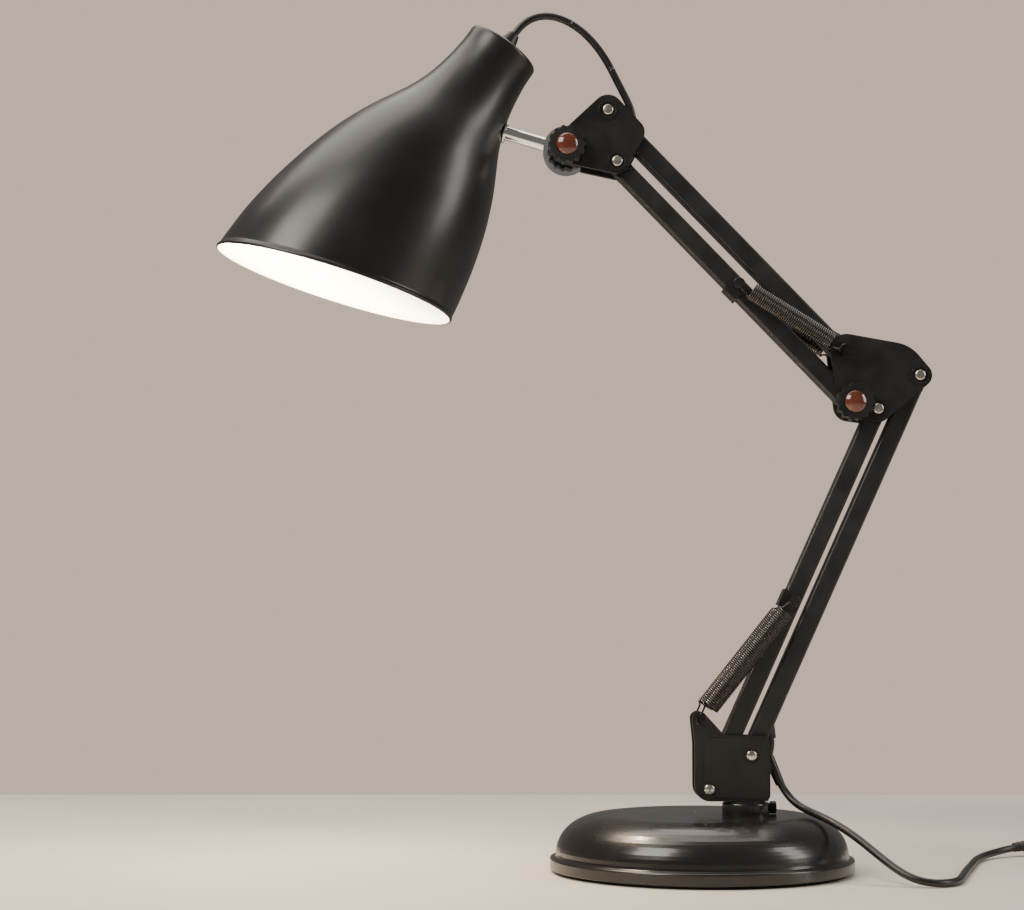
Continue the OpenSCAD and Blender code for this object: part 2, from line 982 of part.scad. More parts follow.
module mains_lead() {
    color(black) {
        sweep(lead_route, lead_r, [0, 1, 0]);
        sweep(link_route, lead_r, [0, 0, 1]);
        sweep(tail_route, lead_r, [0, 0, 1]);
    }
}

coil_in = coil_out - (coil_turns - 1) * 4.5;
coil_h = (coil_layers - 1) * 4.5 + lead_d;
module lead_coil() {
    color(black)
        translate([coil_c[0], coil_c[1], tie_t])
            rotate_extrude($fn = 96)
                polygon(belt([
                    [coil_in, lead_r, lead_r], [coil_out, lead_r, lead_r],
                    [coil_out, coil_h - lead_r, lead_r], [coil_in, coil_h - lead_r, lead_r]
                ]));
}

// A band round the coil's turns at its left side
module coil_tie() {
    gap = 0.2;
    inside = coil_out - coil_in + lead_d + 2 * gap + 0.9;
    color(black)
        translate([coil_c[0] - coil_out - lead_r - gap - tie_t, coil_c[1] - 5, 0])
            difference() {
                cube([inside + 2 * tie_t, 10, coil_h + 2 * tie_t + gap]);
                translate([tie_t, -1, tie_t])
                    cube([inside, 12, coil_h + gap]);
            }
}

// ---- Inline switch and plug ----

rocker_tilt = 8;
rocker_w = 8.6;
switch_mid = (switch_x[0] + switch_x[1]) / 2;
module switch_body() {
    l = switch_x[1] - switch_x[0];
    color(black)
        difference() {
            translate([switch_mid, switch_y, 0])
                linear_extrude(switch_h)
                    polygon(belt([
                        [-l / 2 + 5, -5, 5], [l / 2 - 5, -5, 5], [l / 2 - 5, 5, 5], [-l / 2 + 5, 5, 5]
                    ]));
            translate([switch_mid - 11.5, switch_y - 4.8, 6.5])
                cube([23, 9.6, 20]);
            for (x = switch_x)
                translate([x, switch_y, 7.5])
                    rotate([0, 90, 0])
                        cylinder(r = 3.2, h = 3, center = true);
        }
}

module switch_rocker() {
    color(red_brown) {
        translate([switch_mid, switch_y + rocker_w / 2, switch_h - 2.4])
            rotate([90, -rocker_tilt, 0])
                linear_extrude(rocker_w)
                    polygon(belt([[-8.6, 2.6, 1.4], [-5, -3, 1.4], [5, -3, 1.4], [8.6, 2.6, 1.4]]));
        translate([0, switch_y, 0])
            across([switch_mid, switch_h - 2.4], 1.2, -rocker_w / 2 - 0.4, rocker_w / 2 + 0.4);
    }
}

module plug() {
    half_w = 13;
    color(black)
        translate([plug_x, 0, plug_z]) {
            difference() {
                union() {
                    translate([0, plug_y[0], 0])
                        rotate([90, 0, 0])
                            cylinder(r1 = 3, r2 = 5, h = plug_y[0] - plug_y[1]);
                    translate([0, plug_y[1], 0])
                        rotate([90, 0, 0])
                            linear_extrude(plug_y[1] - plug_y[2])
                                polygon(belt([
                                    [-half_w + 8, 0, 8], [half_w - 8, 0, 8], [0, 0.01, 8]
                                ]));
                }
                translate([0, plug_y[0] + 1, 0])
                    rotate([90, 0, 0])
                        cylinder(r = lead_r + 0.05, h = 1);
            }
            for (side = [-1, 1])
                translate([side * pin_gap / 2, plug_y[2] + 0.5, 0])
                    rotate([90, 0, 0])
                        cylinder(r = 2, h = pin_len + 0.5);
        }
}

base_pad();
bottom_plate();
base_weight();
base_shell();
base_bolts();
swivel_socket();
socket_bush();
lock_screw();
swivel_pin();
bracket_block();
base_bracket_front();
base_bracket_back();
base_rivets();
lower_spring_pegs();
lead_clip();
lower_left_tube();
lower_left_plugs();
lower_spring_clip();
lower_springs();
lower_right_tube();
lower_right_plugs();
lower_grommets();
lower_lead();
drop_lead();
elbow_front();
elbow_back();
elbow_rivets();
elbow_bolt();
elbow_lead();
elbow_knob();
elbow_knob_cap();
upper_bottom_tube();
upper_bottom_plugs();
upper_spring_clip();
upper_springs();
upper_top_tube();
upper_top_plugs();
upper_grommets();
upper_lead();
head_front();
head_back();
head_rivets();
head_bolt();
head_knob();
head_knob_cap();
head_rod();
rod_nuts();
shade();
cord_gland();
lampholder();
holder_ring();
bulb_cap();
bulb_glass();
loop_lead();
mains_lead();
lead_coil();
coil_tie();
switch_body();
switch_rocker();
plug();
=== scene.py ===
"""Swing arm desk lamp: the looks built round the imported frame. Lengths in this file are in millimetres
until they reach Blender, and MM turns them into metres."""
import json
import math

import bmesh
import bpy
import numpy as np
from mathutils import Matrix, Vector

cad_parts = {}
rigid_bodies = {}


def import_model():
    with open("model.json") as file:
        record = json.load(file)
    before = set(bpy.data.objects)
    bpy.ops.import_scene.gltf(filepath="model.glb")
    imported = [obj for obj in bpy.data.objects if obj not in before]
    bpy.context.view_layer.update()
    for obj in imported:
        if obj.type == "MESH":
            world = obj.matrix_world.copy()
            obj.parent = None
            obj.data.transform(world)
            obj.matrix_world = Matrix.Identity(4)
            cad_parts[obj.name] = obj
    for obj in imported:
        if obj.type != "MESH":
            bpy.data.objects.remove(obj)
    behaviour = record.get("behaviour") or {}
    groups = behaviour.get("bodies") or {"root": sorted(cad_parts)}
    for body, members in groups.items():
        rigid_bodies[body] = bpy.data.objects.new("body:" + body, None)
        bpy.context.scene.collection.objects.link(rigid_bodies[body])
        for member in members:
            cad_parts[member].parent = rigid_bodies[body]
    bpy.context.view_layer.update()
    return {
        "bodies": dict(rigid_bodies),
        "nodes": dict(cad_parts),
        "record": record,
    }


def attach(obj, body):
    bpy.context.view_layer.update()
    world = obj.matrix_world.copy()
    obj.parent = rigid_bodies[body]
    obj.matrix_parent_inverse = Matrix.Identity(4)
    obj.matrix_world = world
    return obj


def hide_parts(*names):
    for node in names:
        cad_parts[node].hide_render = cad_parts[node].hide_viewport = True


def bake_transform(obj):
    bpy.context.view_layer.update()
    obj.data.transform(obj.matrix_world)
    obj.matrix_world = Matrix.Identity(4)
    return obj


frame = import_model()
nodes = frame["nodes"]
MM = 0.001

# ---- Places, as part.scad has them ----


def polar(length, lean):
    """[X, Z] of a length that leans from upright, to the right."""
    return np.array([length * math.sin(math.radians(lean)), length * math.cos(math.radians(lean))])


LOWER_LEN, UPPER_LEN, LOWER_LEAN, UPPER_LEAN = 247.5, 201.8, 24.2, 43.9
LEAD_D = 4.4
LEAD_R = LEAD_D / 2
# Pivots as [X, Z]: A and B in the base bracket, E and F in the elbow, K at the head's clamp bolt
A = np.array([4.0, 49.0])
B = A + [25, 20]
E = A + polar(LOWER_LEN, LOWER_LEAN) + [-15.1, 3.1]
F = E + [-5.4, 31]
K = E + polar(UPPER_LEN, -UPPER_LEAN) + [-30.1, 8.3]
SHADE_TOP = K + [-37.2, 62.8]
SHADE_LEAN = 35
LOWER_PEG = np.array([-1.5, 90.5])
LOWER_CLIP = A + polar(122, LOWER_LEAN)
UPPER_CLIP = E + polar(98, -UPPER_LEAN)
SPRING_Y, SPRING_R = 15.2, 5.4
# The lead's holes in the bars: distance up the bar, side it leaves by, slant from the bar's axis
DROP_HOLE, BACK_HOLE = (22, 0, 138), (LOWER_LEN - 42, 90, 40)
ELBOW_HOLE, LOOP_HOLE = (34, 60, 150), (UPPER_LEN - 22, 0, 46)


def at(p, y=0.0):
    """A 3-D point from [X, Z] and Y."""
    return np.array([p[0], y, p[1]], float)


def in_hole(foot, lean, hole, d):
    """The point at distance d from a bar's axis, along the slanted axis of a hole in it."""
    along, face, slant = hole[0], math.radians(hole[1]), math.radians(hole[2])
    side = d * math.sin(slant) * math.cos(face)
    p = foot + polar(along + d * math.cos(slant), lean) + polar(side, lean + 90)
    return at(p, d * math.sin(slant) * math.sin(face))


# ---- Camera ----

camera = bpy.data.objects.new("camera", bpy.data.cameras.new("camera"))
bpy.context.scene.collection.objects.link(camera)
bpy.context.scene.camera = camera
camera.data.sensor_width = 36
camera.data.lens = 69.62
camera.data.shift_y = 0.1
camera.data.clip_start = 0.01
camera.location = (-0.1124, -1.182, 0.138)
camera.rotation_euler = (math.radians(90 + 2.35), 0, 0)

# ---- Mesh helpers ----


def new_object(name, verts, faces, materials=(), face_slots=None, smooth=True):
    """A clean mesh object from millimetres. Faces with more than four corners are end caps and stay flat."""
    mesh = bpy.data.meshes.new(name)
    mesh.from_pydata([tuple(v * MM) for v in np.asarray(verts, float)], [], faces)
    for p, slot in zip(mesh.polygons, face_slots or ()):
        p.material_index = slot
    bm = bmesh.new()
    bm.from_mesh(mesh)
    bmesh.ops.remove_doubles(bm, verts=bm.verts, dist=1e-6)
    bmesh.ops.dissolve_degenerate(bm, edges=bm.edges, dist=1e-7)
    bmesh.ops.recalc_face_normals(bm, faces=bm.faces)
    bm.to_mesh(mesh)
    bm.free()
    for p in mesh.polygons:
        p.use_smooth = smooth and len(p.vertices) <= 4
    obj = bpy.data.objects.new(name, mesh)
    bpy.context.scene.collection.objects.link(obj)
    for m in materials:
        mesh.materials.append(m)
    return obj


def dense(points, step=1.2, passes=12):
    """A smooth line through points, evenly spaced, with its corners relaxed and its two ends kept."""
    p = np.asarray(points, float)
    out = []
    for i in range(len(p) - 1):
        a, b, c, d = p[max(i - 1, 0)], p[i], p[i + 1], p[min(i + 2, len(p) - 1)]
        for t in np.arange(8) / 8:
            square = (2 * a - 5 * b + 4 * c - d) * t**2
            cube = (3 * b - a - 3 * c + d) * t**3
            out.append(0.5 * (2 * b + (c - a) * t + square + cube))
    return even(np.array(out + [p[-1]]), step, passes)


def even(p, step, passes):
    """The same line with its points evenly spaced, and relaxed between its ends."""
    for _ in range(2):
        run = np.concatenate([[0], np.cumsum(np.linalg.norm(np.diff(p, axis=0), axis=1))])
        s = np.linspace(0, run[-1], max(int(run[-1] / step), 4) + 1)
        p = np.stack([np.interp(s, run, p[:, k]) for k in range(3)], 1)
        for _ in range(passes):
            p[2:-2] = (p[1:-3] + p[2:-2] * 2 + p[3:-1]) / 4
    return p


def frames_along(p, first=(0, 1, 0)):
    """Tangents and two unit sides that don't twist, for each point of a line."""
    t = np.gradient(p, axis=0)
    t /= np.linalg.norm(t, axis=1)[:, None]
    side, sides = np.array(first, float), []
    for d in t:
        side = side - d * side.dot(d)
        side /= np.linalg.norm(side)
        sides.append(side)
    sides = np.array(sides)
    return t, sides, np.cross(t, sides)


def tube_mesh(path, radius, sides=14, first=(0, 1, 0), span=slice(None)):
    """Vertices and faces of a round tube along a span of a path, with one radius or one for each point."""
    p = np.asarray(path, float)
    r = np.broadcast_to(np.asarray(radius, float), (len(p),))
    _, u, w = frames_along(p, first)
    p, r, u, w = p[span], r[span], u[span], w[span]
    a = np.arange(sides) * 2 * math.pi / sides
    out = np.cos(a)[None, :, None] * u[:, None] + np.sin(a)[None, :, None] * w[:, None]
    ring = p[:, None] + r[:, None, None] * out
    faces = [
        (i * sides + k, (i + 1) * sides + k, (i + 1) * sides + (k + 1) % sides, i * sides + (k + 1) % sides)
        for i in range(len(p) - 1)
        for k in range(sides)
    ]
    faces.append(tuple(range(sides)))
    faces.append(tuple((len(p) - 1) * sides + k for k in reversed(range(sides))))
    return ring.reshape(-1, 3), faces


def tube(name, path, radius, material, sides=14, first=(0, 1, 0), span=slice(None)):
    verts, faces = tube_mesh(path, radius, sides, first, span)
    return new_object(name, verts, faces, [material])


def join_meshes(parts):
    """One mesh from [vertices, faces, material slot] of each part."""
    verts, faces, slots, start = [], [], [], 0
    for v, f, slot in parts:
        verts.append(np.asarray(v, float))
        faces += [tuple(start + i for i in q) for q in f]
        slots += [slot] * len(f)
        start += len(v)
    return np.concatenate(verts), faces, slots


def lathe_mesh(profile, origin, axis, steps=64):
    """Turns [radius, distance along axis] round a line."""
    axis = np.asarray(axis, float) / np.linalg.norm(axis)
    side = np.cross(axis, (0, 1, 0)) if abs(axis[1]) < 0.9 else np.cross(axis, (1, 0, 0))
    side /= np.linalg.norm(side)
    up = np.cross(axis, side)
    a = np.arange(steps) * 2 * math.pi / steps
    round_axis = np.cos(a)[:, None] * side + np.sin(a)[:, None] * up
    verts = np.concatenate([np.asarray(origin) + axis * z + r * round_axis for r, z in profile])
    faces = [
        (i * steps + k, i * steps + (k + 1) % steps, (i + 1) * steps + (k + 1) % steps, (i + 1) * steps + k)
        for i in range(len(profile) - 1)
        for k in range(steps)
    ]
    return verts, faces


# ---- Materials ----


def surface(name, dark, light, rough, scale=40.0, grain=900.0, bump=0.05, bump_mm=0.05, metal=0.0, coat=0.0,
            coat_rough=0.08, specular=0.5, emission=None, strength=0.0):
    """Mottled colour and roughness from slow noise, and a fine grain from quick noise."""
    m = bpy.data.materials.new(name)
    m.use_nodes = True
    tree = m.node_tree
    bsdf = tree.nodes["Principled BSDF"]
    coords = tree.nodes.new("ShaderNodeTexCoord")
    slow = tree.nodes.new("ShaderNodeTexNoise")
    slow.inputs["Scale"].default_value = scale
    slow.inputs["Detail"].default_value = 4
    fine = tree.nodes.new("ShaderNodeTexNoise")
    fine.inputs["Scale"].default_value = grain
    fine.inputs["Detail"].default_value = 2
    for noise in (slow, fine):
        tree.links.new(coords.outputs["Object"], noise.inputs["Vector"])
    ramp = tree.nodes.new("ShaderNodeValToRGB")
    ramp.color_ramp.elements[0].position = 0.35
    ramp.color_ramp.elements[1].position = 0.7
    ramp.color_ramp.elements[0].color = (*dark, 1)
    ramp.color_ramp.elements[1].color = (*light, 1)
    tree.links.new(slow.outputs["Fac"], ramp.inputs["Fac"])
    tree.links.new(ramp.outputs["Color"], bsdf.inputs["Base Color"])
    spread = tree.nodes.new("ShaderNodeMapRange")
    spread.inputs["From Min"].default_value = 0.3
    spread.inputs["From Max"].default_value = 0.7
    spread.inputs["To Min"].default_value = rough[0]
    spread.inputs["To Max"].default_value = rough[1]
    tree.links.new(slow.outputs["Fac"], spread.inputs["Value"])
    tree.links.new(spread.outputs["Result"], bsdf.inputs["Roughness"])
    if bump:
        relief = tree.nodes.new("ShaderNodeBump")
        relief.inputs["Strength"].default_value = bump
        relief.inputs["Distance"].default_value = bump_mm * MM
        tree.links.new(fine.outputs["Fac"], relief.inputs["Height"])
        tree.links.new(relief.outputs["Normal"], bsdf.inputs["Normal"])
    bsdf.inputs["Metallic"].default_value = metal
    bsdf.inputs["Coat Weight"].default_value = coat
    bsdf.inputs["Coat Roughness"].default_value = coat_rough
    bsdf.inputs["Specular IOR Level"].default_value = specular
    if emission:
        bsdf.inputs["Emission Color"].default_value = (*emission, 1)
        bsdf.inputs["Emission Strength"].default_value = strength
    return m


gloss_paint = surface("gloss_black_enamel", (0.006, 0.005, 0.005), (0.010, 0.009, 0.008), (0.22, 0.32),
                      scale=30, grain=520, bump=0.12, bump_mm=0.03, coat=0.3, coat_rough=0.12)
shade_paint = surface("satin_black_enamel", (0.007, 0.006, 0.006), (0.012, 0.010, 0.010), (0.30, 0.40),
                      scale=24, grain=900, bump=0.10, bump_mm=0.03, coat=0.15, coat_rough=0.2)
# The inside enamel's emission is a painted glow. It stands in for the bulb's light falling on the inside of
# the shade.
shade_white_painted_glow = surface("white_enamel_inside_painted_glow", (0.86, 0.84, 0.80), (0.92, 0.90, 0.87), (0.35, 0.45),
                      scale=30, grain=700, bump=0.05, bump_mm=0.03, emission=(1.0, 0.93, 0.82), strength=0.9)
bar_paint = surface("black_powder_coat", (0.009, 0.010, 0.010), (0.016, 0.017, 0.018), (0.36, 0.50),
                    scale=60, grain=1600, bump=0.25, bump_mm=0.04)
plastic = surface("moulded_black_plastic", (0.008, 0.008, 0.008), (0.014, 0.014, 0.015), (0.34, 0.48),
                  scale=70, grain=1300, bump=0.22, bump_mm=0.04)
cap_plastic = surface("red_brown_plastic", (0.085, 0.018, 0.008), (0.150, 0.036, 0.016), (0.14, 0.24),
                      scale=160, grain=700, bump=0.04, bump_mm=0.03, coat=0.7, coat_rough=0.05)
nickel = surface("nickel_plate", (0.60, 0.57, 0.50), (0.74, 0.71, 0.64), (0.16, 0.30),
                 scale=240, grain=1500, bump=0.05, bump_mm=0.02, metal=1.0)
chrome = surface("chrome_plate", (0.74, 0.74, 0.75), (0.86, 0.86, 0.86), (0.05, 0.12),
                 scale=90, grain=1200, bump=0.02, bump_mm=0.02, metal=1.0)
steel = surface("turned_steel", (0.42, 0.42, 0.43), (0.58, 0.58, 0.58), (0.25, 0.40),
                scale=200, grain=1800, bump=0.10, bump_mm=0.03, metal=1.0)
black_steel = surface("blackened_steel", (0.012, 0.012, 0.012), (0.030, 0.030, 0.030), (0.30, 0.42),
                      scale=180, grain=1500, bump=0.12, bump_mm=0.03, metal=0.6)
spring_wire = surface("black_spring_wire", (0.008, 0.005, 0.004), (0.020, 0.010, 0.008), (0.26, 0.40),
                      scale=300, grain=1200, bump=0.06, bump_mm=0.02, coat=0.5, coat_rough=0.1)
lead_skin = surface("black_lead_skin", (0.008, 0.008, 0.008), (0.014, 0.014, 0.014), (0.30, 0.42),
                    scale=120, grain=1400, bump=0.15, bump_mm=0.03)
rubber = surface("black_rubber", (0.010, 0.010, 0.010), (0.018, 0.018, 0.018), (0.55, 0.70),
                 scale=120, grain=1200, bump=0.25, bump_mm=0.05)
iron = surface("rough_cast_iron", (0.05, 0.05, 0.05), (0.11, 0.10, 0.10), (0.60, 0.80),
               scale=90, grain=400, bump=0.6, bump_mm=0.3, metal=0.6)
foam = surface("foam_pad", (0.015, 0.015, 0.015), (0.030, 0.030, 0.030), (0.85, 0.95),
               scale=200, grain=1500, bump=0.7, bump_mm=0.2, specular=0.2)
nylon = surface("black_nylon", (0.012, 0.012, 0.012), (0.020, 0.020, 0.020), (0.35, 0.5),
                scale=80, grain=900, bump=0.1)
porcelain = surface("white_holder_plastic", (0.78, 0.76, 0.72), (0.86, 0.85, 0.81), (0.30, 0.45),
                    scale=60, grain=900, bump=0.08)
lit_glass = surface("lit_bulb_glass", (1.0, 0.95, 0.88), (1.0, 0.97, 0.92), (0.25, 0.35), scale=40, grain=300,
                    bump=0.02, emission=(1.0, 0.90, 0.74), strength=14.0)

LOOKS = {
    "foam_pad": foam, "plain_steel": steel, "black_steel": black_steel, "cast_weight": iron,
    "gloss_paint": gloss_paint, "nylon": nylon, "black_plastic": plastic, "nickel": nickel,
    "satin_paint": bar_paint, "spring_paint": spring_wire,
    "black_rubber": rubber, "lead_pvc": lead_skin, "red_brown_plastic": cap_plastic, "chrome_plate": chrome,
    "shade_paint": shade_paint, "white_plastic": porcelain, "bulb_glass": lit_glass,
}
for row in frame["record"]["subparts"]:
    obj = nodes[row["node"]]
    obj.data.materials.clear()
    obj.data.materials.append(LOOKS[row["material_slot"]])

# Rounded edges on the moulded, pressed and turned CAD pieces, by their width
SOFT_EDGES = {
    0.5: ["base_bracket_front", "base_bracket_back", "head_front", "head_back"],
    0.48: ["switch_body", "bracket_block", "lock_screw", "switch_rocker", "coil_tie"],
    0.45: ["elbow_knob", "head_knob", "elbow_knob_cap", "head_knob_cap",
           "lower_spring_clip", "upper_spring_clip"],
    0.3: ["elbow_bolt", "head_bolt", "rod_nuts", "swivel_socket",
          "lower_spring_pegs", "holder_ring", "lead_clip"],
}
for width, names in SOFT_EDGES.items():
    for name in names:
        weld = nodes[name].modifiers.new("weld", "WELD")
        weld.merge_threshold = 1e-6
        soft = nodes[name].modifiers.new("soft_edges", "BEVEL")
        soft.width = width * MM
        soft.segments = 2
        soft.limit_method = "ANGLE"
        soft.angle_limit = math.radians(38)
        soft.use_clamp_overlap = True
        nodes[name].modifiers.new("even_normals", "WEIGHTED_NORMAL").keep_sharp = True

# ---- The free lead: clip to switch, switch to coil, coil to plug ----

LEAD_ROUTE = [
    (41.6, 0, 64.5), (43.5, -0.6, 59.9), (45.4, -1.2, 55.3), (47.3, -1.8, 50.7), (49.6, -3.3, 46.3),
    (52.5, -6.1, 42.4), (56.2, -10.4, 39.4), (61.6, -17.6, 37), (70, -29.6, 33.6), (79.8, -42.8, 27.8),
    (89.5, -54.5, 20), (98, -65, 12.4), (104.3, -72.1, 7.6), (110.7, -77.4, 4.2), (117.6, -80, 2.6),
    (124.8, -79.3, 2.4), (131.4, -75.6, 2.4), (136.6, -69, 2.4), (142, -54, 2.4), (149, -31, 2.4),
    (155, -12, 2.4), (161.5, 7, 2.4), (171, 36, 2.4), (181, 58, 2.7), (193.5, 73, 3.8),
    (207, 80.4, 5.9), (222, 82, 7.5),
]
LINK_ROUTE = [
    (276, 82, 7.5), (280.7, 81.4, 7.3), (285, 79.6, 6.8), (288.7, 76.7, 6.1), (291.6, 73, 5.3),
    (293.4, 68.7, 4.5), (294, 64, 3.9), (294, 54, 3.2), (294, 44, 3), (294, 38, 3),
]
TAIL_ROUTE = [
    (285, 30, 13.9), (285, 24, 15.8), (285, 18, 16.8), (285, 11, 16.9), (285, 3, 15.8), (285, -5, 13.1),
    (285, -13, 10.1), (285, -21, 8),
]
COIL = (264, 34)
COIL_TURNS = 8


def metres(p):
    """One point as a tuple in metres."""
    return tuple(p * MM)


def coil_points():
    """Eight turns in three layers, inwards, outwards, then inwards again, wound clockwise."""
    keys = [  # angle in degrees, radius, Z
        (0, 30, 3), (300, 30, 3), (360, 25.5, 3), (660, 25.5, 3), (720, 21, 3), (960, 21, 3),
        (1020, 21, 7.5), (1260, 21, 7.5), (1320, 25.5, 7.5), (1620, 25.5, 7.5), (1680, 30, 7.5),
        (1920, 30, 7.5), (1980, 30, 12), (2220, 30, 12), (2280, 25.5, 12), (2580, 25.5, 12),
        (2640, 21, 12), (2850, 21, 12), (2880, 21, 12.8),
    ]
    angle, radius, z = np.array(keys, float).T
    out = []
    for a in range(5, 360 * COIL_TURNS, 5):
        r, turn = np.interp(a, angle, radius), math.radians(a)
        out.append((COIL[0] + r * math.cos(turn), COIL[1] - r * math.sin(turn), np.interp(a, angle, z)))
    return out


lead_path = dense(LEAD_ROUTE, 1.5, 22)
lead = tube("mains_lead_to_switch", lead_path, LEAD_R, lead_skin)
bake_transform(lead)
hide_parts("mains_lead")

stored_path = dense(LINK_ROUTE + coil_points() + TAIL_ROUTE, 1.6, 10)
stored = tube("mains_lead_coil", stored_path, LEAD_R, lead_skin, first=(0, 0, 1))
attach(stored, "base")
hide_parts("lead_coil")


# ---- Plug: a flat moulded body with a ribbed neck, and two pins with insulated roots ----


PLUG_X, PLUG_Z, PLUG_FACE_Y = 285, 8, -71.8
NECK_RIBS, RIB_STEP, NECK_Y, NECK_R = 9, 2, -21, 3.0


def loft_mesh(sections, sides=32):
    """Closed rings along -Y from [y, half width, half height, roundness exponent], about the plug's axis."""
    verts, faces = [], []
    for y, w, h, n in sections:
        for k in range(sides):
            a = 2 * math.pi * k / sides
            c, s = math.cos(a), math.sin(a)
            x = PLUG_X + w * math.copysign(abs(c) ** (2 / n), c)
            verts.append((x, y, PLUG_Z + h * math.copysign(abs(s) ** (2 / n), s)))
    for i in range(len(sections) - 1):
        for k in range(sides):
            m = (k + 1) % sides
            faces.append((i * sides + k, i * sides + m, (i + 1) * sides + m, (i + 1) * sides + k))
    faces.append(tuple(reversed(range(sides))))
    faces.append(tuple((len(sections) - 1) * sides + k for k in range(sides)))
    return np.array(verts, float), faces


plug_sections = []
for i in range(NECK_RIBS):
    y = NECK_Y - RIB_STEP * i
    neck = NECK_R + 1.9 * i / 8
    for further, taller in ((0, 0), (1.2, 0.15), (1.25, -0.55), (1.95, -0.5)):
        plug_sections.append((y - further, neck + taller, neck + taller, 2))
plug_sections += [
    (-39.2, 5.4, 5.2, 2.2), (-42, 7.4, 6.2, 2.4), (-46, 10.2, 7.2, 2.8), (-51, 12.3, 7.8, 3.1),
    (-57, 12.9, 7.9, 3.4), (-63, 12.4, 7.9, 3.4), (-68, 12.8, 7.9, 3.4), (-70.8, 12.8, 7.8, 3.4),
    (-71.7, 12.3, 7.3, 3.3), (-72, 11.6, 6.6, 3.2),
]
PIN_SLEEVE = [(0, 0), (2.0, 0), (2.0, 10)]
PIN_TIP = [(1.9, 10), (1.9, 18), (1.6, 18.9), (0.9, 19.2), (0, 19.2)]
plug_parts = [(*loft_mesh(plug_sections), 0)]
for side in (-9.5, 9.5):
    pin_root = (PLUG_X + side, PLUG_FACE_Y, PLUG_Z)
    for slot, profile in enumerate((PIN_SLEEVE, PIN_TIP)):
        plug_parts.append((*lathe_mesh(profile, pin_root, (0, -1, 0), 24), slot))
verts, faces, slots = join_meshes(plug_parts)
plug = new_object("two_pin_plug", verts, faces, [plastic, nickel], slots)
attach(plug, "base")
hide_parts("plug")

# Tapered, ribbed sleeves where the lead enters and leaves the switch
SLEEVE_WIDE, SLEEVE_NARROW, SLEEVE_RIBS = 4.2, 2.9, 6


def sleeve(name, path):
    """A sleeve that narrows along path."""
    steps = np.linspace(0, 1, len(path))
    grooves = np.where(np.sin(steps * SLEEVE_RIBS * 2 * math.pi) > 0.55, -0.45, 0.0)
    radii = SLEEVE_WIDE + (SLEEVE_NARROW - SLEEVE_WIDE) * steps + grooves * ((steps > 0.12) & (steps < 0.94))
    obj = tube(name, path, radii, plastic, sides=20)
    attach(obj, "base")


sleeve("switch_sleeve_in", dense(LEAD_ROUTE[-3:], 0.5, 2)[-34:][::-1])
sleeve("switch_sleeve_out", dense(LINK_ROUTE, 0.5, 2)[:32])

# ---- The lead's short lengths on the arms ----


def hung_lead(name, path, spans, node):
    """One lead in pieces, one tube for each span.

    A span is [first point, last point, body a, body b, where the blend starts, where it ends], the last two
    as shares of the piece. The two bodies and the two shares are not used.
    """
    for n, (i, j, a, b, lo, hi) in enumerate(spans):
        piece_name = f"{name}_{n}" if len(spans) > 1 else name
        obj = tube(piece_name, path, LEAD_R, lead_skin, span=slice(i, j + 1))
        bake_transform(obj)
        if n == 0:
            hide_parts(node)


loop_start = SHADE_TOP + polar(10, SHADE_LEAN)
loop_end = in_hole(F, -UPPER_LEAN, LOOP_HOLE, 11.6)
loop_path = dense(
    [at(loop_start - polar(3, SHADE_LEAN))]
    + [at(loop_start + np.array(d)) for d in [
        (0, 0), (3.4, 4.6), (8, 8.6), (13.6, 11), (19.6, 11.6), (26, 10.6), (33.4, 7.4), (41.6, 1.6),
        (49.6, -7), (56.6, -17.6), (62.6, -29.6)]]
    + [loop_end + d for d in [(-3.6, 0, 12), (-1, 0, 6), (0, 0, 0)]]
    + [in_hole(F, -UPPER_LEAN, LOOP_HOLE, 7)], 1.2, 12)
n = len(loop_path) - 1
hung_lead("loop_lead_piece", loop_path, [
    (0, int(n * 0.36), "shade", "rod", 0.05, 0.98),
    (int(n * 0.36), int(n * 0.68), "rod", "head", 0.02, 0.98),
    (int(n * 0.68), n, "head", "upper_top", 0.02, 0.9),
], "loop_lead")

elbow_to = in_hole(B, LOWER_LEAN, BACK_HOLE, 12.5)
elbow_path = dense(
    [in_hole(F, -UPPER_LEAN, ELBOW_HOLE, d) for d in (12, 16.7, 22, 27)]
    + [(91, 13, 318.6), (98.6, 13.5, 313.6), (105.4, 13.4, 307.4), (111, 13.4, 300), (115.4, 13.4, 292),
       (118.4, 13.4, 284)]
    + [at((elbow_to[0], elbow_to[2]) + polar(up, LOWER_LEAN), y)
       for y, up in [(12.8, 16), (11.4, 8), (9.7, 3.3)]]
    + [elbow_to, in_hole(B, LOWER_LEAN, BACK_HOLE, 8)], 1.2, 40)
n = len(elbow_path) - 1
hung_lead("elbow_lead_piece", elbow_path, [
    (0, int(n * 0.5), "upper_top", "elbow", 0.1, 0.95),
    (int(n * 0.5), n, "elbow", "lower_right", 0.1, 0.9),
], "elbow_lead")

drop_start = in_hole(B, LOWER_LEAN, DROP_HOLE, 12.2)
drop_path = dense(
    [in_hole(B, LOWER_LEAN, DROP_HOLE, 8), drop_start]
    + [drop_start + d for d in [(0.3, 0.1, -3), (-0.3, 0.3, -6)]]
    + [(39.8, 0.6, 69.6), (41.2, 0.1, 65.5)], 1.0, 8)
hung_lead("drop_lead_piece", drop_path, [
    (0, len(drop_path) - 1, "lower_right", "swivel", 0.15, 0.8),
], "drop_lead")

# ---- Springs: close-wound coils with a hook at each end ----


WIRE_R, HOOK_R, HOOK_GAP = 0.62, 3.1, 9
TURN_POINTS = 18


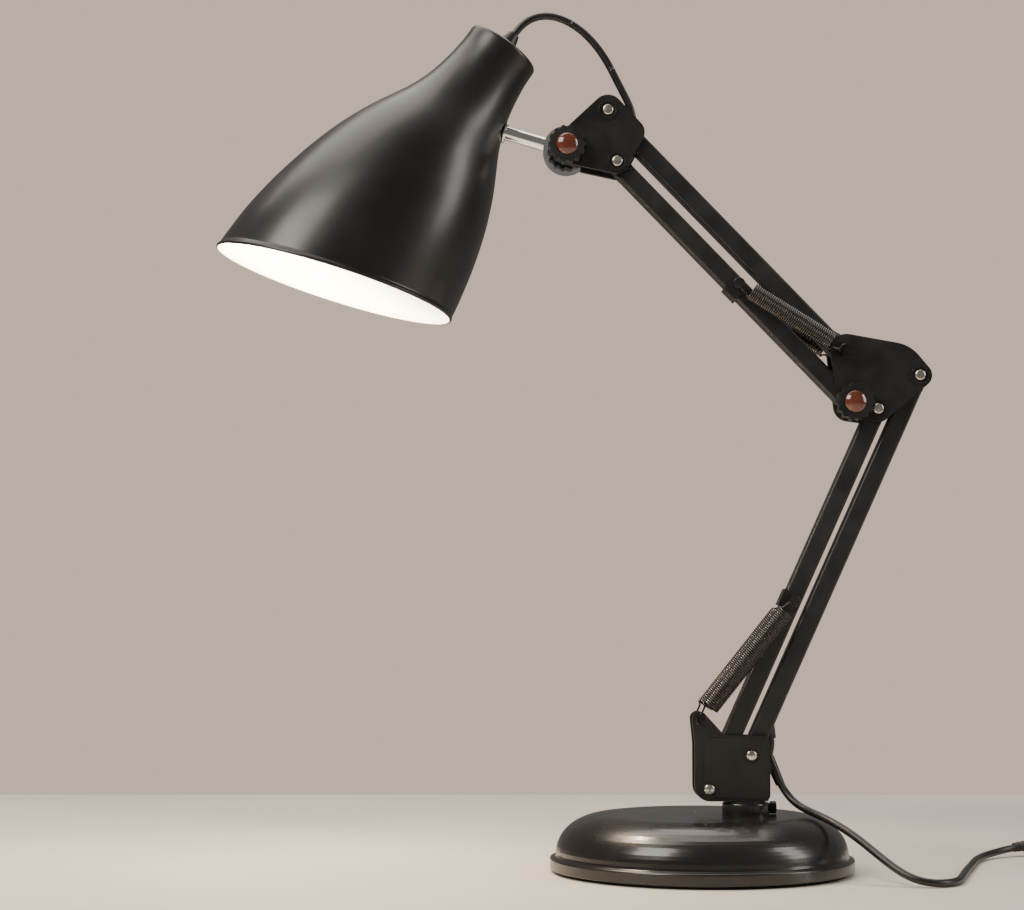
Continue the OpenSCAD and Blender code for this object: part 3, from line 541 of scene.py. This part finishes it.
def spring_path(start, end, y):
    """A coil between two hooks, from [X, Z] start to end at Y y."""
    p, q = at(start, y), at(end, y)
    run = np.linalg.norm(q - p)
    along = (q - p) / run
    across = np.cross(along, (0, 1, 0))
    depth = np.array([0.0, 1.0, 0.0])
    wound = run - 2 * HOOK_GAP
    turns = round(wound / (2 * WIRE_R * 1.02))
    mid = SPRING_R - WIRE_R
    coil = []
    for k in range(turns * TURN_POINTS + 1):
        t = k / (turns * TURN_POINTS)
        a = 2 * math.pi * turns * t
        coil.append(p + along * (HOOK_GAP + wound * t) + mid * (math.cos(a) * across + math.sin(a) * depth))

    def hook(centre, sign):
        arc = np.linspace(-1.25 * math.pi, 0.0, 22)
        return [centre + HOOK_R * (math.cos(a) * -sign * along + math.sin(a) * across) for a in arc]

    lead_in = along * (HOOK_GAP - 1.5)
    off_axis = across * 0.6 * mid
    first = hook(p, 1) + [p + lead_in + off_axis]
    last = [q - lead_in + off_axis] + hook(q, -1)[::-1]
    return np.array(first + coil + last)


def spring(name, start, end, y):
    """A spring from [X, Z] start on body a to end on body b, at Y y."""
    obj = tube(name, spring_path(start, end, y), WIRE_R, spring_wire, sides=7)
    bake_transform(obj)
    return obj


for y, label in ((-SPRING_Y, "front"), (SPRING_Y, "back")):
    lower = spring(f"lower_spring_{label}", LOWER_PEG, LOWER_CLIP, y)
    upper = spring(f"upper_spring_{label}", F, UPPER_CLIP, y)
    if label == "front":
        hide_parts("lower_springs")
        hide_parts("upper_springs")

# ---- Shade: a spun bell with a slanted, rolled mouth, black outside and white inside, the inside with a painted glow ----

SHADE_LINE = np.array([
    (2.4, 22.8), (14, 23), (27, 24.8), (40, 27.8), (52, 32.2), (64, 39), (78, 46.6), (98, 54.8),
    (120, 61.4), (145, 66.8), (170, 70.2), (204, 71),
])
SHADE_WALL, MOUTH_LONG, MOUTH_SLANT = 1.2, 199.0, math.tan(math.radians(18))
MOUTH_R = 71
# The crown's flat top, the round of its edge, and the gland's hole
CROWN_R, CROWN_ROUND, GLAND_HOLE_R = 20.4, 2.4, 5.3
SHADE_STEPS, SHADE_ROWS, BEAD_STEPS, BEAD = 160, 72, 9, 1.1
NECK_END = 12

# The turned sizes at each millimetre down the axis, relaxed into one smooth bell below the straight neck
bell_t = np.arange(0.0, 210.0, 1.0)
bell_r = np.interp(bell_t, *SHADE_LINE.T)
for _ in range(90):
    above, here, below = bell_r[NECK_END - 1:-2], bell_r[NECK_END:-1], bell_r[NECK_END + 1:]
    bell_r[NECK_END:-1] = (above + 2 * here + below) / 4


def shade_radius(t):
    """The outside radius at a distance down the axis."""
    return float(np.interp(t, bell_t, bell_r))


def mouth_at(angle):
    """How far down the axis the slanted mouth cuts the wall, found by repeated guesses."""
    t = 175.0
    for _ in range(30):
        across = shade_radius(min(t, 203.0)) * math.cos(angle)
        t = MOUTH_LONG - (across + MOUTH_R) * MOUTH_SLANT
    return t


down = -at(polar(1, SHADE_LEAN))
right = at(polar(1, SHADE_LEAN + 90))
top = at(SHADE_TOP)


def shade_point(radius, t, angle):
    """The point at a radius, a distance down the axis and an angle about it."""
    out = math.cos(angle) * right + math.sin(angle) * np.array([0.0, 1.0, 0.0])
    return top + down * t + radius * out


crown = [(GLAND_HOLE_R, 0.0), (12, 0.0), (CROWN_R, 0.0)] + [
    (CROWN_R + CROWN_ROUND * math.sin(a), CROWN_ROUND - CROWN_ROUND * math.cos(a))
    for a in np.linspace(0.2, math.pi / 2, 8)
]
columns = []
for k in range(SHADE_STEPS):
    angle = 2 * math.pi * k / SHADE_STEPS
    mouth = mouth_at(angle)
    lip = shade_radius(mouth)
    ts = CROWN_ROUND + (mouth - 1.2 - CROWN_ROUND) * np.linspace(0, 1, SHADE_ROWS)[1:]
    line = crown + [(shade_radius(t), t) for t in ts]
    outside = len(line)
    # The wall is rolled outwards into a thin bead along the mouth
    for a in np.linspace(-0.3 * math.pi, 1.1 * math.pi, BEAD_STEPS):
        line.append((lip - 0.25 + BEAD * math.cos(a) * 0.75, mouth - 0.6 + BEAD * math.sin(a)))
    line += [(shade_radius(t) - SHADE_WALL, t) for t in ts[::-1]]
    line += [(20.6, CROWN_ROUND), (19.5, SHADE_WALL), (12, SHADE_WALL), (GLAND_HOLE_R, SHADE_WALL)]
    columns.append([shade_point(r, t, angle) for r, t in line])
rows = len(columns[0])
verts = np.array(columns).reshape(-1, 3)
faces, slots = [], []
for k in range(SHADE_STEPS):
    m = (k + 1) % SHADE_STEPS
    for i in range(rows):
        j = (i + 1) % rows
        faces.append((k * rows + i, k * rows + j, m * rows + j, m * rows + i))
        slots.append(1 if outside + BEAD_STEPS // 2 + 1 <= i < rows - 1 else 0)
bell = new_object("bell_shade", verts, faces, [shade_paint, shade_white_painted_glow], slots)
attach(bell, "shade")
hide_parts("shade")

# ---- Floor and light ----

table_grain = surface("pale_table", (0.76, 0.69, 0.61), (0.80, 0.73, 0.65), (0.30, 0.42),
                      scale=4, grain=260, bump=0.05)
TABLE_HALF, TABLE_FRONT, TABLE_BACK, TABLE_THICK = 1600, -900, 580, 30
outline = [
    (-TABLE_HALF, TABLE_FRONT), (TABLE_HALF, TABLE_FRONT),
    (TABLE_HALF, TABLE_BACK), (-TABLE_HALF, TABLE_BACK),
]
corners = [(x, y, z) for z in (0, -TABLE_THICK) for x, y in outline]
edges = [(k, k + 4, (k + 1) % 4 + 4, (k + 1) % 4) for k in range(4)]
floor = new_object("floor", corners, [(0, 1, 2, 3), (7, 6, 5, 4)] + edges, [table_grain], smooth=False)

# The background is brighter to the camera than it is as a light
world = bpy.data.worlds.new("studio")
bpy.context.scene.world = world
world.use_nodes = True
sky = world.node_tree
seen = sky.nodes["Background"]
seen.inputs["Color"].default_value = (0.84, 0.66, 0.53, 1)
seen.inputs["Strength"].default_value = 0.85
lighting = sky.nodes.new("ShaderNodeBackground")
lighting.inputs["Color"].default_value = (0.80, 0.76, 0.72, 1)
lighting.inputs["Strength"].default_value = 0.22
either = sky.nodes.new("ShaderNodeMixShader")
rays = sky.nodes.new("ShaderNodeLightPath")
sky.links.new(rays.outputs["Is Camera Ray"], either.inputs["Fac"])
sky.links.new(lighting.outputs["Background"], either.inputs[1])
sky.links.new(seen.outputs["Background"], either.inputs[2])
sky.links.new(either.outputs["Shader"], sky.nodes["World Output"].inputs["Surface"])


def area(name, place, target, size, watts, colour):
    """An area light at a place, facing a target."""
    light = bpy.data.lights.new(name, "AREA")
    light.shape = "RECTANGLE"
    light.size, light.size_y = size
    light.energy = watts
    light.color = colour
    obj = bpy.data.objects.new(name, light)
    bpy.context.scene.collection.objects.link(obj)
    obj.location = place
    obj.rotation_euler = (Vector(target) - Vector(place)).to_track_quat("-Z", "Y").to_euler()
    bpy.context.view_layer.update()
    return obj


area("key_light", (-1.3, -1.1, 1.5), (0, 0, 0.2), (1.0, 1.0), 34, (1.0, 0.94, 0.86))
area("side_light", (1.6, -0.4, 0.9), (0, 0, 0.25), (0.5, 1.2), 13, (1.0, 0.96, 0.92))
area("top_light", (-0.2, 0.5, 2.0), (0, 0, 0.0), (2.4, 1.6), 42, (1.0, 0.93, 0.86))
# The bulb's own light, on the shade's axis, turns with the shade
glow = area("bulb_glow", metres(shade_point(0, 150, 0)), metres(shade_point(0, 400, 0)),
            (0.05, 0.05), 2.6, (1.0, 0.80, 0.52))
glow.visible_camera = False
at_rest = glow.matrix_world.copy()
glow.parent = frame["bodies"]["shade"]
glow.matrix_world = at_rest
